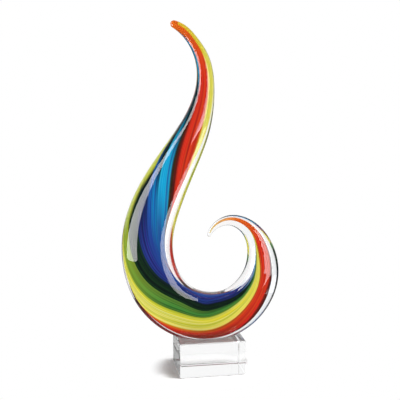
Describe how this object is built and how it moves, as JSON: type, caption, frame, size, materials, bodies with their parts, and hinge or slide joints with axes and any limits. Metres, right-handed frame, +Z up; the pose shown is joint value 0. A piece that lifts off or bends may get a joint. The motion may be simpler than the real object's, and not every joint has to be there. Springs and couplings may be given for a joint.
{
  "type": "glass wave sculpture",
  "caption": "Clear glass wave ornament: a tapering bar curled into a hook, with a twisted bundle of coloured rods inside, ground flat and glued on a clear rectangular block.",
  "frame": {"origin": "centre of the block's underside", "axes": "+Z up through the block to the neck tip, +X towards the hook, -Y towards the viewer"},
  "size_m": [0.1448, 0.048, 0.315],
  "materials": {
    "clear_block": "polished",
    "clear_glue": "clear",
    "clear_casing": "fire polished",
    "red_glass": "opaque, streaked",
    "yellow_glass": "opaque, streaked",
    "green_glass": "opaque, streaked",
    "black_glass": "opaque",
    "indigo_glass": "opaque, streaked",
    "blue_glass": "opaque, streaked",
    "cyan_glass": "opaque, streaked",
    "brown_glass": "opaque"
  },
  "bodies": {
    "root": {"base_block": "clear_block", "base_bond": "clear_glue", "clear_casing": "clear_casing", "red_rod": "red_glass", "yellow_rod": "yellow_glass", "green_rod": "green_glass", "black_rod": "black_glass", "indigo_rod": "indigo_glass", "blue_rod": "blue_glass", "cyan_rod": "cyan_glass", "brown_rod": "brown_glass"}
  },
  "joints": []
}
